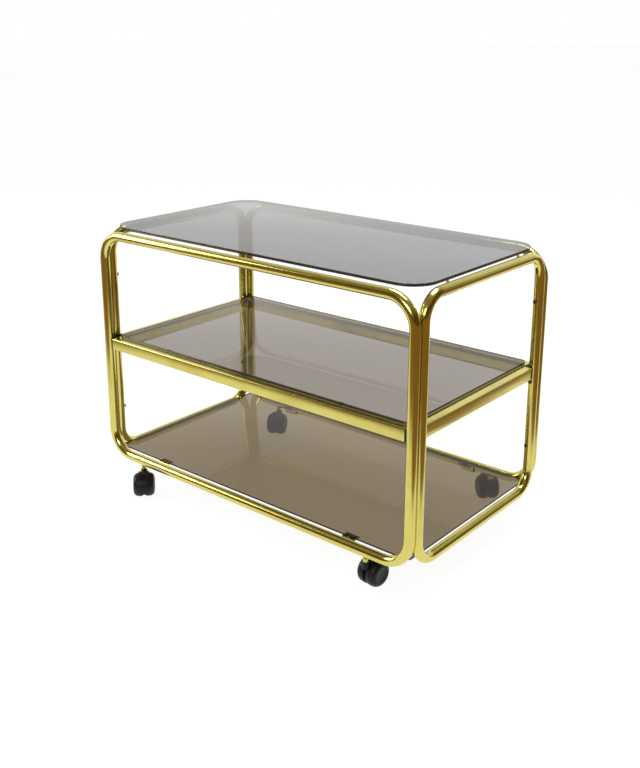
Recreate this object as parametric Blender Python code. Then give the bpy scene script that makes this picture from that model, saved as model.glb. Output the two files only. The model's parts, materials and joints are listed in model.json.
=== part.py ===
"""Three-tier serving trolley: four bent tube hoops, three glass plates and four twin-wheel casters.

Frame of the model: metres, +Z up, origin on the floor under the middle of the trolley. +X runs along the
length, -Y is the front. The long hoops stand in the planes y = const, the side hoops in the planes
x = const, and three screws through each pair of touching legs hold them together.

The long and side hoops are modelled as solid bar in the tube's outer size.
"""

import math

import bmesh
import bpy
from mathutils import Matrix, Vector

GAP = 0.0003                     # clearance between pieces that touch

# Tube hoops
TUBE_RADIUS = 0.010
LENGTH = 0.784                   # between the leg axes of a long hoop
DEPTH = 0.436                    # between the planes of the two long hoops
BOTTOM_Z = 0.071                 # axis of the lower tubes
TOP_Z = 0.558                    # axis of the upper tubes
LONG_BEND = 0.054                # bend radius at the tube's axis
SIDE_BEND = 0.045
SIDE_STEP = 0.0034               # side hoops stand this far outside the long hoops' legs
LEG_SPACING = math.sqrt((2 * TUBE_RADIUS + GAP) ** 2 - SIDE_STEP ** 2)
SIDE_X = LENGTH / 2 + SIDE_STEP
SIDE_LEG_Y = DEPTH / 2 - LEG_SPACING
TUBE_SIDES = 16
BEND_STEPS = 6

# Corner screws
SCREW_HEIGHTS = {"lower": 0.1655, "middle": 0.3015, "upper": 0.4650}
SCREW_X = LENGTH / 2 + SIDE_STEP / 2
SCREW_SHANK = 0.0020
SCREW_HEAD = 0.0042
SCREW_HEAD_HEIGHT = 0.0026
SCREW_BITE = 0.0120              # depth of the shank in the long hoop's leg
SCREW_SOCKET = 0.0013
SCREW_SOCKET_DEPTH = 0.0014

# Middle shelf: rectangular rails with plugged ends
RAIL_WIDTH = 0.030
RAIL_HEIGHT = 0.024
RAIL_TOP_Z = 0.3310
RAIL_WALL = 0.0015
RAIL_ROUND = 0.0022
LONG_RAIL_Y = DEPTH / 2 - 0.011
SIDE_RAIL_X = SIDE_X - 0.0124
PLUG_FLANGE = 0.0034             # from the rail's end to the leg, at the leg's crown
PLUG_SPIGOT = 0.010
PLUG_WING = 0.0020               # how far the plug's cheeks wrap round the leg

# Glass plates
GLASS = 0.006
TOP_GLASS = (0.778, 0.410, 0.052)       # length, depth, corner radius
SHELF_GLASS = (0.751, 0.416, 0.014)
BASE_GLASS = (0.770, 0.412, 0.040)
PAD_HEIGHT = 0.0010
TOP_GLASS_Z = TOP_Z + TUBE_RADIUS + 0.0012
SHELF_GLASS_Z = RAIL_TOP_Z + PAD_HEIGHT + 2 * GAP
BASE_GLASS_Z = BOTTOM_Z + TUBE_RADIUS + 0.0010
ARRIS = 0.0008
CORNER_STEPS = 6

# Pads, and the brackets that carry the base glass
PAD_RADIUS = 0.006
PAD_Y = 0.200
SHELF_PAD_X = 0.225
BASE_PAD_X = 0.250
PLATE = 0.002
BRACKET_WIDTH = 0.030
BRACKET_REACH = 0.028            # from the tube's axis to the end of the upper flange
RISER = 0.0112                   # from the tube's axis to the bracket's upright part

# Casters
CASTER_X = 0.300
CASTER_TURN = {"front_left": -44, "front_right": 84, "rear_left": -62, "rear_right": 136}
WHEEL_RADIUS = 0.025
TRAIL = 0.020
WHEEL_INNER = 0.0036             # inner face of a wheel, from the caster's middle plane
WHEEL_OUTER = 0.0222
TREAD_EDGE = 0.0115
WEB = 0.0032                     # half thickness of the hood's middle web
HOOD_WIDTH = 0.0112              # half width of the mudguard
HOOD_RADIUS = 0.0280
HOOD_CLEAR = 0.0257              # inside of the mudguard, round the axle
HOOD_ARC = (-28, 128)            # degrees round the axle, 0 pointing along the trail
BOSS_RADIUS = 0.0068
BOSS_TOP = 0.0570
BOSS_FOOT = 0.0380
SOCKET_FLOOR = 0.0468
STEM_RADIUS = 0.0040
COLLAR_RADIUS = 0.0054
STEM_BITE = 0.006                # depth of the stem in the lower tube
AXLE_RADIUS = 0.0025
AXLE_HALF = 0.0190
HUB_RADIUS = 0.0085

CORNERS = {"front_left": (-1, -1), "front_right": (1, -1), "rear_left": (-1, 1), "rear_right": (1, 1)}


def clear_scene():
    """Remove every object of the open scene."""
    for obj in list(bpy.data.objects):
        bpy.data.objects.remove(obj, do_unlink=True)


def make_material(name, colour, metallic, roughness, alpha=1.0):
    """A plain Principled material."""
    material = bpy.data.materials.new(name)
    material.use_nodes = True
    shader = material.node_tree.nodes["Principled BSDF"]
    shader.inputs["Base Color"].default_value = (*colour, 1.0)
    shader.inputs["Metallic"].default_value = metallic
    shader.inputs["Roughness"].default_value = roughness
    shader.inputs["Alpha"].default_value = alpha
    return material


def add_object(name, bm, material=None, matrix=None, parent=None):
    """Turn a bmesh into an object, shaded smooth with sharp edges over 35 degrees."""
    bmesh.ops.recalc_face_normals(bm, faces=bm.faces)
    mesh = bpy.data.meshes.new(name)
    bm.to_mesh(mesh)
    bm.free()
    mesh.shade_smooth()
    mesh.set_sharp_from_angle(angle=math.radians(35))
    return add_mesh(name, mesh, material, matrix, parent)


def add_mesh(name, mesh, material=None, matrix=None, parent=None):
    """Link an object that uses the given mesh."""
    obj = bpy.data.objects.new(name, mesh)
    bpy.context.scene.collection.objects.link(obj)
    if material and not mesh.materials:
        mesh.materials.append(material)
    obj.parent = parent
    obj.matrix_local = matrix or Matrix()
    return obj


def make_tool(name, bm):
    """A hidden shape for a Boolean."""
    tool = add_object(name, bm)
    tool.hide_render = True
    tool.hide_viewport = False
    tool.display_type = "WIRE"
    return tool


def combine(obj, tool, operation):
    """Add an exact Boolean with one hidden shape."""
    modifier = obj.modifiers.new(tool.name, "BOOLEAN")
    modifier.solver = "EXACT"
    modifier.operation = operation
    modifier.object = tool


def add_rod(bm, radius, start, end, sides=16):
    """A round bar between two points."""
    start, end = Vector(start), Vector(end)
    along = end - start
    turn = along.to_track_quat("Z", "Y").to_matrix().to_4x4()
    matrix = Matrix.Translation((start + end) / 2) @ turn
    bmesh.ops.create_cone(bm, cap_ends=True, segments=sides, radius1=radius, radius2=radius,
                          depth=along.length, matrix=matrix)


def turned(points, sides):
    """A solid turned about Z from its outline, a list of (radius, z) that starts and ends on the axis."""
    bm = bmesh.new()
    outline = [bm.verts.new((radius, 0.0, z)) for radius, z in points]
    edges = [bm.edges.new(pair) for pair in zip(outline, outline[1:])]
    bmesh.ops.spin(bm, geom=outline + edges, axis=(0, 0, 1), cent=(0, 0, 0), steps=sides,
                   angle=2 * math.pi, use_merge=True)
    bmesh.ops.remove_doubles(bm, verts=bm.verts, dist=1e-6)
    return bm


def rounded_outline(length, width, radius, steps):
    """Corner arcs of a rounded rectangle as (x, y) points, counter-clockwise."""
    points = []
    for quarter, (sx, sy) in enumerate(((1, 1), (-1, 1), (-1, -1), (1, -1))):
        for step in range(steps + 1):
            angle = math.radians(90 * (quarter + step / steps))
            points.append((sx * (length / 2 - radius) + radius * math.cos(angle),
                           sy * (width / 2 - radius) + radius * math.sin(angle)))
    return points


def slab(points, low, high):
    """An outline extruded along Z."""
    bm = bmesh.new()
    face = bm.faces.new([bm.verts.new((x, y, low)) for x, y in points])
    grown = bmesh.ops.extrude_face_region(bm, geom=[face])["geom"]
    lifted = [item for item in grown if isinstance(item, bmesh.types.BMVert)]
    bmesh.ops.translate(bm, verts=lifted, vec=(0, 0, high - low))
    return bm


def hoop_loop(width, height, bend):
    """A round bar bent to a closed rounded rectangle in the local XZ plane, centred on the origin."""
    bm = bmesh.new()
    rings = []
    for quarter, (sx, sz) in enumerate(((1, 1), (-1, 1), (-1, -1), (1, -1))):
        for step in range(BEND_STEPS + 1):
            angle = math.radians(90 * (quarter + step / BEND_STEPS))
            outward = Vector((math.cos(angle), 0.0, math.sin(angle)))
            corner = Vector((sx * (width / 2 - bend), 0.0, sz * (height / 2 - bend)))
            rings.append(section_ring(bm, corner + outward * bend, outward))
    for ring, following in zip(rings, rings[1:] + rings[:1]):
        for side in range(TUBE_SIDES):
            after = (side + 1) % TUBE_SIDES
            bm.faces.new((ring[side], ring[after], following[after], following[side]))
    return bm


def section_ring(bm, centre, outward):
    """One circle of the bent bar's section."""
    ring = []
    for side in range(TUBE_SIDES):
        angle = 2 * math.pi * side / TUBE_SIDES
        offset = outward * math.cos(angle) + Vector((0, 1, 0)) * math.sin(angle)
        ring.append(bm.verts.new(centre + offset * TUBE_RADIUS))
    return ring


def make_hoops(brass):
    """The four hoops, drilled for screws and caster stems; the long ones carry the base brackets."""
    middle = (BOTTOM_Z + TOP_Z) / 2
    height = TOP_Z - BOTTOM_Z
    for name, side in (("front", -1), ("rear", 1)):
        place = Matrix.Translation((0, side * DEPTH / 2, middle))
        hoop = add_object(f"{name}_hoop", hoop_loop(LENGTH, height, LONG_BEND), brass, place)
        combine(hoop, make_tool(f"{name}_brackets", base_brackets(side)), "UNION")
        combine(hoop, make_tool(f"{name}_drill", long_hoop_drills(side)), "DIFFERENCE")
    for name, side in (("left", -1), ("right", 1)):
        turn = Matrix.Rotation(math.radians(90), 4, "Z")
        place = Matrix.Translation((side * SIDE_X, 0, middle)) @ turn
        hoop = add_object(f"{name}_hoop", hoop_loop(2 * SIDE_LEG_Y, height, SIDE_BEND), brass, place)
        combine(hoop, make_tool(f"{name}_drill", side_hoop_drills(side)), "DIFFERENCE")


def long_hoop_drills(side):
    """Blind screw holes in both legs and the two stem sockets of one long hoop."""
    bm = bmesh.new()
    leg = side * DEPTH / 2
    inner = leg - side * (TUBE_RADIUS + 0.001)
    blind = inner + side * (SCREW_BITE + GAP + 0.001)
    for sx in (-1, 1):
        for z in SCREW_HEIGHTS.values():
            add_rod(bm, SCREW_SHANK + GAP, (sx * SCREW_X, inner, z), (sx * SCREW_X, blind, z), 12)
        socket = BOTTOM_Z - TUBE_RADIUS + STEM_BITE + GAP
        add_rod(bm, STEM_RADIUS + GAP, (sx * CASTER_X, leg, BOTTOM_Z - 0.015), (sx * CASTER_X, leg, socket))
    return bm


def side_hoop_drills(side):
    """Through holes for the screws in both legs of one side hoop."""
    bm = bmesh.new()
    for sy in (-1, 1):
        for z in SCREW_HEIGHTS.values():
            start = (side * SCREW_X, sy * (SIDE_LEG_Y - 0.012), z)
            end = (side * SCREW_X, sy * (SIDE_LEG_Y + 0.012), z)
            add_rod(bm, SCREW_SHANK + GAP, start, end, 12)
    return bm


def base_brackets(side):
    """Two Z-shaped plates under one lower tube, which carry the pads of the base glass."""
    bm = bmesh.new()
    flange_top = BASE_GLASS_Z - PAD_HEIGHT - 2 * GAP - BOTTOM_Z
    low = -TUBE_RADIUS - PLATE + 0.0006
    profile = [(-0.006, low), (RISER + PLATE, low), (RISER + PLATE, flange_top - PLATE),
               (BRACKET_REACH, flange_top - PLATE), (BRACKET_REACH, flange_top), (RISER, flange_top),
               (RISER, low + PLATE), (-0.006, low + PLATE)]
    for sx in (-1, 1):
        left = sx * BASE_PAD_X - BRACKET_WIDTH / 2
        corners = [(left, side * (DEPTH / 2 - inward), BOTTOM_Z + up) for inward, up in profile]
        face = bm.faces.new([bm.verts.new(corner) for corner in corners])
        grown = bmesh.ops.extrude_face_region(bm, geom=[face])["geom"]
        moved = [item for item in grown if isinstance(item, bmesh.types.BMVert)]
        bmesh.ops.translate(bm, verts=moved, vec=(BRACKET_WIDTH, 0, 0))
    return bm


def rail_tube(length):
    """A rectangular tube along X with rounded edges and open ends."""
    outer = rounded_outline(RAIL_WIDTH, RAIL_HEIGHT, RAIL_ROUND, 3)
    inner = rounded_outline(RAIL_WIDTH - 2 * RAIL_WALL, RAIL_HEIGHT - 2 * RAIL_WALL,
                            RAIL_ROUND - RAIL_WALL, 3)
    bm = bmesh.new()
    rings = [[bm.verts.new((x, y, z)) for y, z in outline]
             for x, outline in ((-length / 2, outer), (length / 2, outer),
                                (length / 2, inner), (-length / 2, inner))]
    count = len(outer)
    for ring, following in zip(rings, rings[1:] + rings[:1]):
        for side in range(count):
            after = (side + 1) % count
            bm.faces.new((ring[side], ring[after], following[after], following[side]))
    return bm


def rail_plug(leg_offset):
    """End plug of a rail: a spigot along -X and a flange hollowed to sit on the leg.

    leg_offset is how far the leg's axis lies from the rail's axis, across the rail.
    """
    bm = slab(rounded_outline(RAIL_WIDTH, RAIL_HEIGHT, RAIL_ROUND, 3), GAP, PLUG_FLANGE + PLUG_WING)
    clear = 2 * (RAIL_WALL + GAP)
    spigot = slab(rounded_outline(RAIL_WIDTH - clear, RAIL_HEIGHT - clear, 0.0008, 2), -PLUG_SPIGOT, 0.001)
    lay_along_x(bm)
    lay_along_x(spigot)
    saddle = bmesh.new()
    leg_x = PLUG_FLANGE + TUBE_RADIUS
    ends = [(leg_x, leg_offset, sign * RAIL_HEIGHT) for sign in (-1, 1)]
    add_rod(saddle, TUBE_RADIUS + GAP, *ends, 40)
    return bm, spigot, saddle


def lay_along_x(bm):
    """Turn a slab's (x, y, z) into (z, x, y), so that it runs along X with its width along Y."""
    turn = Matrix(((0, 0, 1, 0), (1, 0, 0, 0), (0, 1, 0, 0), (0, 0, 0, 1)))
    bmesh.ops.transform(bm, matrix=turn, verts=bm.verts)


def make_rails(brass, plastic):
    """Four shelf rails and their eight plugs."""
    z = RAIL_TOP_Z - RAIL_HEIGHT / 2
    long_offset = DEPTH / 2 - LONG_RAIL_Y
    side_offset = SIDE_X - SIDE_RAIL_X
    long_end = LENGTH / 2 - TUBE_RADIUS - PLUG_FLANGE
    side_end = SIDE_LEG_Y - TUBE_RADIUS - PLUG_FLANGE
    for name, side in (("front", -1), ("rear", 1)):
        place = Matrix.Translation((0, side * LONG_RAIL_Y, z))
        add_object(f"{name}_rail", rail_tube(2 * long_end), brass, place)
        for end, sx in (("left", -1), ("right", 1)):
            place = Matrix.Translation((sx * long_end, side * LONG_RAIL_Y, z))
            make_plug(f"{name}_rail_plug_{end}", place, sx, side * long_offset, plastic)
    for name, side in (("left", -1), ("right", 1)):
        turn = Matrix.Rotation(math.radians(90), 4, "Z")
        place = Matrix.Translation((side * SIDE_RAIL_X, 0, z)) @ turn
        add_object(f"{name}_rail", rail_tube(2 * side_end), brass, place)
        for end, sy in (("front", -1), ("rear", 1)):
            place = Matrix.Translation((side * SIDE_RAIL_X, sy * side_end, z)) @ turn
            make_plug(f"{name}_rail_plug_{end}", place, sy, -side * side_offset, plastic)


def make_plug(name, place, facing, leg_offset, material):
    """One plug, pointing along +X or -X of its place as the sign of facing says."""
    turn = Matrix.Rotation(0.0 if facing > 0 else math.pi, 4, "Z")
    flange, spigot, saddle = rail_plug(leg_offset * facing)
    plug = add_object(name, flange, material, place @ turn)
    for label, shape, operation in (("spigot", spigot, "UNION"), ("saddle", saddle, "DIFFERENCE")):
        bmesh.ops.transform(shape, matrix=place @ turn, verts=shape.verts)
        combine(plug, make_tool(f"{name}_{label}", shape), operation)


def make_glass(glass):
    """The three plates, with ground corners and arrised edges."""
    plates = (("top_glass", TOP_GLASS, TOP_GLASS_Z), ("shelf_glass", SHELF_GLASS, SHELF_GLASS_Z),
              ("base_glass", BASE_GLASS, BASE_GLASS_Z))
    for name, (length, depth, radius), z in plates:
        outline = rounded_outline(length, depth, radius, CORNER_STEPS)
        plate = add_object(name, slab(outline, 0.0, GLASS), glass, Matrix.Translation((0, 0, z)))
        bevel = plate.modifiers.new("arris", "BEVEL")
        bevel.width = ARRIS
        bevel.segments = 1
        bevel.limit_method = "ANGLE"
        bevel.angle_limit = math.radians(60)


def make_pads(rubber):
    """Eight round pads: four under the base glass and four under the shelf glass."""
    outline = [(0, 0), (PAD_RADIUS, 0), (PAD_RADIUS, PAD_HEIGHT), (0, PAD_HEIGHT)]
    mesh = None
    for tier, x, top in (("base", BASE_PAD_X, BASE_GLASS_Z), ("shelf", SHELF_PAD_X, SHELF_GLASS_Z)):
        for corner, (sx, sy) in CORNERS.items():
            place = Matrix.Translation((sx * x, sy * PAD_Y, top - GAP - PAD_HEIGHT))
            if mesh:
                add_mesh(f"{tier}_pad_{corner}", mesh, rubber, place)
            else:
                mesh = add_object(f"{tier}_pad_{corner}", turned(outline, 16), rubber, place).data


def make_screws(steel):
    """Three socket screws at each corner, their heads on the inner side of the side hoops' legs."""
    seat = 2 * TUBE_RADIUS + GAP
    tip = -(SCREW_BITE + seat)
    top = SCREW_HEAD_HEIGHT
    outline = [(0, tip), (SCREW_SHANK * 0.6, tip), (SCREW_SHANK, tip + 0.001), (SCREW_SHANK, GAP),
               (SCREW_HEAD, GAP), (SCREW_HEAD, top * 0.45), (SCREW_HEAD * 0.8, top * 0.85),
               (SCREW_SOCKET, top), (SCREW_SOCKET, top - SCREW_SOCKET_DEPTH), (0, top - SCREW_SOCKET_DEPTH)]
    mesh = None
    for corner, (sx, sy) in CORNERS.items():
        for level, z in SCREW_HEIGHTS.items():
            face = sy * (SIDE_LEG_Y - TUBE_RADIUS)
            turn = Matrix.Rotation(math.radians(90 * sy), 4, "X")
            place = Matrix.Translation((sx * SCREW_X, face, z)) @ turn
            name = f"screw_{corner}_{level}"
            if mesh:
                add_mesh(name, mesh, steel, place)
            else:
                mesh = add_object(name, turned(outline, 10), steel, place).data


def wheel_outline():
    """Half section of a domed wheel as (radius, distance from the caster's middle plane)."""
    points = [(AXLE_RADIUS + GAP, WHEEL_INNER), (WHEEL_RADIUS - 0.0008, WHEEL_INNER),
              (WHEEL_RADIUS, WHEEL_INNER + 0.0008), (WHEEL_RADIUS, TREAD_EDGE)]
    steps = 3
    for step in range(1, steps + 1):
        angle = math.radians(90 * step / steps)
        radius = 0.015 + (WHEEL_RADIUS - 0.015) * math.cos(angle)
        points.append((radius, TREAD_EDGE + (WHEEL_OUTER - TREAD_EDGE) * math.sin(angle)))
    points += [(0.012, WHEEL_OUTER), (0.011, WHEEL_OUTER - 0.0008), (0, WHEEL_OUTER - 0.0008)]
    hole = AXLE_HALF + GAP
    return [(0, hole), (AXLE_RADIUS + GAP, hole)] + points


def hood_blank():
    """Hood before it is cleared for the wheels: a sector round the axle and the hub disc."""
    first, last = HOOD_ARC
    steps = 14
    rim = [math.radians(first + (last - first) * step / steps) for step in range(steps + 1)]
    outline = [(HOOD_RADIUS * math.cos(angle), HOOD_RADIUS * math.sin(angle)) for angle in rim]
    outline.append((-0.006, 0.004))
    outline.append((0.006, -0.007))
    return slab(outline, -HOOD_WIDTH, HOOD_WIDTH)


def make_caster(corner, sx, sy, brass, plastic):
    """One caster: the stem in the tube, and below it the hood, axle and two wheels that swivel."""
    pivot = bpy.data.objects.new(f"{corner}_caster_pivot", None)
    bpy.context.scene.collection.objects.link(pivot)
    pivot.location = (sx * CASTER_X, sy * DEPTH / 2, 0.0)
    pivot.rotation_euler = (0, 0, math.radians(CASTER_TURN[corner]))
    bpy.context.view_layer.update()
    make_stem(corner, brass, pivot)
    # In the axle frame X runs along the trail, Y up and Z along the axle.
    axle_frame = Matrix.Translation((TRAIL, 0, WHEEL_RADIUS)) @ Matrix.Rotation(math.radians(90), 4, "X")
    make_hood(corner, plastic, pivot, axle_frame)
    axle = bmesh.new()
    add_rod(axle, AXLE_RADIUS, (0, 0, -AXLE_HALF), (0, 0, AXLE_HALF), 16)
    add_object(f"{corner}_axle", axle, brass, axle_frame, pivot)
    flip = Matrix.Rotation(math.pi, 4, "X")
    for name, turn in (("wheel_left", Matrix()), ("wheel_right", flip)):
        add_object(f"{corner}_{name}", turned(wheel_outline(), 24), plastic, axle_frame @ turn, pivot)


def make_stem(corner, brass, pivot):
    """The swivel stem with its collar."""
    top = BOTTOM_Z - TUBE_RADIUS
    outline = [(0, SOCKET_FLOOR + GAP), (STEM_RADIUS, SOCKET_FLOOR + GAP), (STEM_RADIUS, BOSS_TOP + GAP),
               (COLLAR_RADIUS, BOSS_TOP + GAP), (COLLAR_RADIUS, top - GAP), (STEM_RADIUS, top - GAP),
               (STEM_RADIUS, top + STEM_BITE), (0, top + STEM_BITE)]
    add_object(f"{corner}_stem", turned(outline, 16), brass, Matrix(), pivot)


def make_hood(corner, plastic, pivot, axle_frame):
    """Mudguard, web, hub and stem boss in one moulding."""
    hood = add_object(f"{corner}_hood", hood_blank(), plastic, axle_frame, pivot)
    world = pivot.matrix_world @ axle_frame
    boss = bmesh.new()
    ends = [(-TRAIL, z - WHEEL_RADIUS, 0) for z in (BOSS_FOOT, BOSS_TOP)]
    add_rod(boss, BOSS_RADIUS, *ends, 24)
    hub = bmesh.new()
    add_rod(hub, HUB_RADIUS, (0, 0, -WEB), (0, 0, WEB), 24)
    clear = bmesh.new()
    for side in (-1, 1):
        add_rod(clear, HOOD_CLEAR, (0, 0, side * WEB), (0, 0, side * 0.03), 32)
    bores = bmesh.new()
    add_rod(bores, AXLE_RADIUS + GAP, (0, 0, -0.02), (0, 0, 0.02), 16)
    add_rod(bores, STEM_RADIUS + GAP, (-TRAIL, SOCKET_FLOOR - WHEEL_RADIUS, 0), (-TRAIL, 0.05, 0), 20)
    tools = (("boss", boss, "UNION"), ("hub", hub, "UNION"),
             ("clear", clear, "DIFFERENCE"), ("bores", bores, "DIFFERENCE"))
    for label, shape, operation in tools:
        bmesh.ops.transform(shape, matrix=world, verts=shape.verts)
        combine(hood, make_tool(f"{corner}_hood_{label}", shape), operation)


def main():
    """Build the trolley."""
    clear_scene()
    brass = make_material("polished_brass", (0.72, 0.58, 0.20), 1.0, 0.16)
    glass = make_material("smoked_glass", (0.30, 0.28, 0.26), 0.0, 0.05, 0.45)
    plastic = make_material("black_plastic", (0.02, 0.02, 0.02), 0.0, 0.45)
    rubber = make_material("clear_rubber", (0.45, 0.42, 0.34), 0.0, 0.60)
    steel = make_material("dark_steel", (0.20, 0.17, 0.12), 1.0, 0.35)
    make_hoops(brass)
    make_rails(brass, plastic)
    make_glass(glass)
    make_pads(rubber)
    make_screws(steel)
    for corner, (sx, sy) in CORNERS.items():
        make_caster(corner, sx, sy, brass, plastic)


main()
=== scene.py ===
"""Looks of a three-tier serving trolley: bent brass tube hoops, smoked glass plates and twin-wheel casters.

Metres, +Z up, origin on the floor under the middle of the trolley. +X runs along its length and -Y is its
front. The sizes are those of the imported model, which this script loads first.
"""

import json
import logging
import math
from dataclasses import dataclass, field
from enum import Enum
from typing import Callable, Iterable, Optional, Sequence, Union

import bmesh
import bpy
from mathutils import Matrix, Vector


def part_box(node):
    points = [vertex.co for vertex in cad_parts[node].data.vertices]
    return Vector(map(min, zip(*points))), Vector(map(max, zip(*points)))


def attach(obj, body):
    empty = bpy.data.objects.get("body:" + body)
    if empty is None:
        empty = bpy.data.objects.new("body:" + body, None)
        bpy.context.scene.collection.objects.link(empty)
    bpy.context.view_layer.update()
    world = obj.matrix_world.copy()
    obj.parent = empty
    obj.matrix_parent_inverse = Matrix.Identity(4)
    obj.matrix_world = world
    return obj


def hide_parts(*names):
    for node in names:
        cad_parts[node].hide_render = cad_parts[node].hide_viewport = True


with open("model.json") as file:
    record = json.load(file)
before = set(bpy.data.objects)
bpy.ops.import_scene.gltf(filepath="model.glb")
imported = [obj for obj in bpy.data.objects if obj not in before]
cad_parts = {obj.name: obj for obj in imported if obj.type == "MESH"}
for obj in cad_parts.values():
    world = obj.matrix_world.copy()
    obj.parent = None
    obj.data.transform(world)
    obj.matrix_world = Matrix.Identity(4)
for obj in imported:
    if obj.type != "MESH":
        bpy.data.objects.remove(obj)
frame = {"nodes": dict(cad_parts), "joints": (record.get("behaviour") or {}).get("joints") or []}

LOG = logging.getLogger("trolley")
GAP = 0.0003                    # drawn clearance between pieces that touch
WELD = 1e-6                     # points closer than this are one
Colour = tuple[float, float, float]
Tint = Union["Wire", Colour]
Outline = list[tuple[float, float]]


class Corner(Enum):
    """The trolley's four corners, with the signs of X and Y."""

    FRONT_LEFT = ("front_left", -1, -1)
    FRONT_RIGHT = ("front_right", 1, -1)
    REAR_LEFT = ("rear_left", -1, 1)
    REAR_RIGHT = ("rear_right", 1, 1)

    @property
    def label(self) -> str:
        """The corner's name in piece and body names."""
        return self.value[0]

    @property
    def signs(self) -> tuple[int, int]:
        """Signs of X and Y."""
        return self.value[1], self.value[2]


class Slot(Enum):
    """The record's material slots."""

    BRASS = "brass"
    GREY_GLASS = "grey_glass"
    BRONZE_GLASS = "bronze_glass"
    PLASTIC = "black_plastic"
    WHEEL = "black_wheel"
    RUBBER = "clear_rubber"
    DARK_STEEL = "dark_steel"
    BRIGHT_STEEL = "bright_steel"


# Node graphs -----------------------------------------------------------------------------------------------


class Wire:
    """One output socket of a graph. Arithmetic on it adds Math nodes."""

    def __init__(self, graph: "Graph", socket: Optional[bpy.types.NodeSocket]) -> None:
        """Wraps a socket of that graph."""
        self.graph = graph
        self.socket = socket

    def _math(self, operation: str, *values: Union["Wire", float]) -> "Wire":
        """Adds one Math node and returns its result."""
        return self.graph.node("ShaderNodeMath", {"operation": operation}, dict(enumerate(values)))

    def __add__(self, other: Union["Wire", float]) -> "Wire":
        """self + other."""
        return self._math("ADD", self, other)

    def __radd__(self, other: float) -> "Wire":
        """other + self."""
        return self._math("ADD", other, self)

    def __sub__(self, other: Union["Wire", float]) -> "Wire":
        """self - other."""
        return self._math("SUBTRACT", self, other)

    def __rsub__(self, other: float) -> "Wire":
        """other - self."""
        return self._math("SUBTRACT", other, self)

    def __mul__(self, other: Union["Wire", float]) -> "Wire":
        """self * other."""
        return self._math("MULTIPLY", self, other)

    def __rmul__(self, other: float) -> "Wire":
        """other * self."""
        return self._math("MULTIPLY", other, self)

    def __abs__(self) -> "Wire":
        """abs(self)."""
        return self._math("ABSOLUTE", self)

    def fades(self, start: float, end: float) -> "Wire":
        """A smooth step from 0 at start to 1 at end."""
        return self.graph.node("ShaderNodeMapRange", {"interpolation_type": "SMOOTHSTEP"},
                               {"Value": self, "From Min": start, "From Max": end})


class Graph:
    """A node tree under construction. Every node comes from node()."""

    def __init__(self, tree: bpy.types.NodeTree) -> None:
        """Starts on an empty tree."""
        self.tree = tree
        tree.nodes.clear()

    def node(self, kind: str, settings: Optional[dict] = None, inputs: Optional[dict] = None,
             output: Union[int, str] = 0) -> Wire:
        """Adds a node.

        Args:
            kind: The node's type.
            settings: Properties of the node, set first. "captures" gives a capture one item of that type.
            inputs: Values or wires by socket name or number.
            output: The output to return, by name or number.

        Returns:
            The chosen output, or a wire without a socket if the node has none. Others come from pick().
        """
        node = self.tree.nodes.new(kind)
        for name, value in (settings or {}).items():
            if name == "captures":
                node.capture_items.new(value, "kept")
            else:
                setattr(node, name, value)
        for key, value in (inputs or {}).items():
            socket = node.inputs[key]
            if isinstance(value, Wire):
                self.tree.links.new(value.socket, socket)
            else:
                socket.default_value = value
        return Wire(self, node.outputs[output] if node.outputs else None)

    def pick(self, wire: Wire, output: Union[int, str]) -> Wire:
        """Another output of the node that a wire comes from."""
        return Wire(self, wire.socket.node.outputs[output])

    def noise(self, where: Wire, scale: float, detail: float = 3.0, roughness: float = 0.5) -> Wire:
        """A noise value round 0.5."""
        return self.node("ShaderNodeTexNoise", {"noise_dimensions": "3D"},
                         {"Vector": where, "Scale": scale, "Detail": detail, "Roughness": roughness})

    def stretched(self, where: Wire, scale: tuple[float, float, float]) -> Wire:
        """Coordinates scaled per axis."""
        return self.node("ShaderNodeMapping", {}, {"Vector": where, "Scale": scale})

    def mix(self, factor: Wire, first: Tint, second: Tint) -> Wire:
        """A mix of two colours, each a wire or a plain colour."""
        tints = [tint if isinstance(tint, Wire) else (*tint, 1.0) for tint in (first, second)]
        return self.node("ShaderNodeMix", {"data_type": "RGBA"}, {0: factor, 6: tints[0], 7: tints[1]}, 2)

    def object_space(self) -> Wire:
        """Object coordinates, which are the trolley's own at rest."""
        return self.node("ShaderNodeTexCoord", {}, {}, "Object")

    def attribute(self, name: str) -> Wire:
        """A vector attribute stored on the mesh."""
        return self.node("ShaderNodeAttribute", {"attribute_name": name}, {}, "Vector")

    def bump(self, height: Wire, distance: float, strength: float = 1.0) -> Wire:
        """A normal from a height."""
        return self.node("ShaderNodeBump", {}, {"Height": height, "Distance": distance, "Strength": strength})


def shade(name: str, dress: Callable[[Graph], dict], veil: Optional[Callable[[Graph, Wire], Wire]] = None
          ) -> bpy.types.Material:
    """Makes a Principled material.

    Args:
        name: The material's name.
        dress: Adds the material's nodes, and returns the values and wires of the shader's sockets.
        veil: Mixes the shader with what is seen through the surface.

    Returns:
        The material.
    """
    material = bpy.data.materials.new(name)
    material.use_nodes = True
    graph = Graph(material.node_tree)
    surface = graph.node("ShaderNodeBsdfPrincipled", {}, dress(graph))
    if veil:
        surface = veil(graph, surface)
    graph.node("ShaderNodeOutputMaterial", {}, {"Surface": surface})
    return material


# Finishes --------------------------------------------------------------------------------------------------


@dataclass(frozen=True)
class Finish:
    """What all finishes share.

    Attributes:
        name: The material's name.
    """

    name: str

    def material(self) -> bpy.types.Material:
        """Builds the finish."""
        return shade(self.name, self.dress)

    def dress(self, graph: Graph) -> dict:
        """Adds the finish's nodes.

        Args:
            graph: The material's graph.

        Returns:
            Values and wires of the shader's sockets.
        """
        raise NotImplementedError


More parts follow.
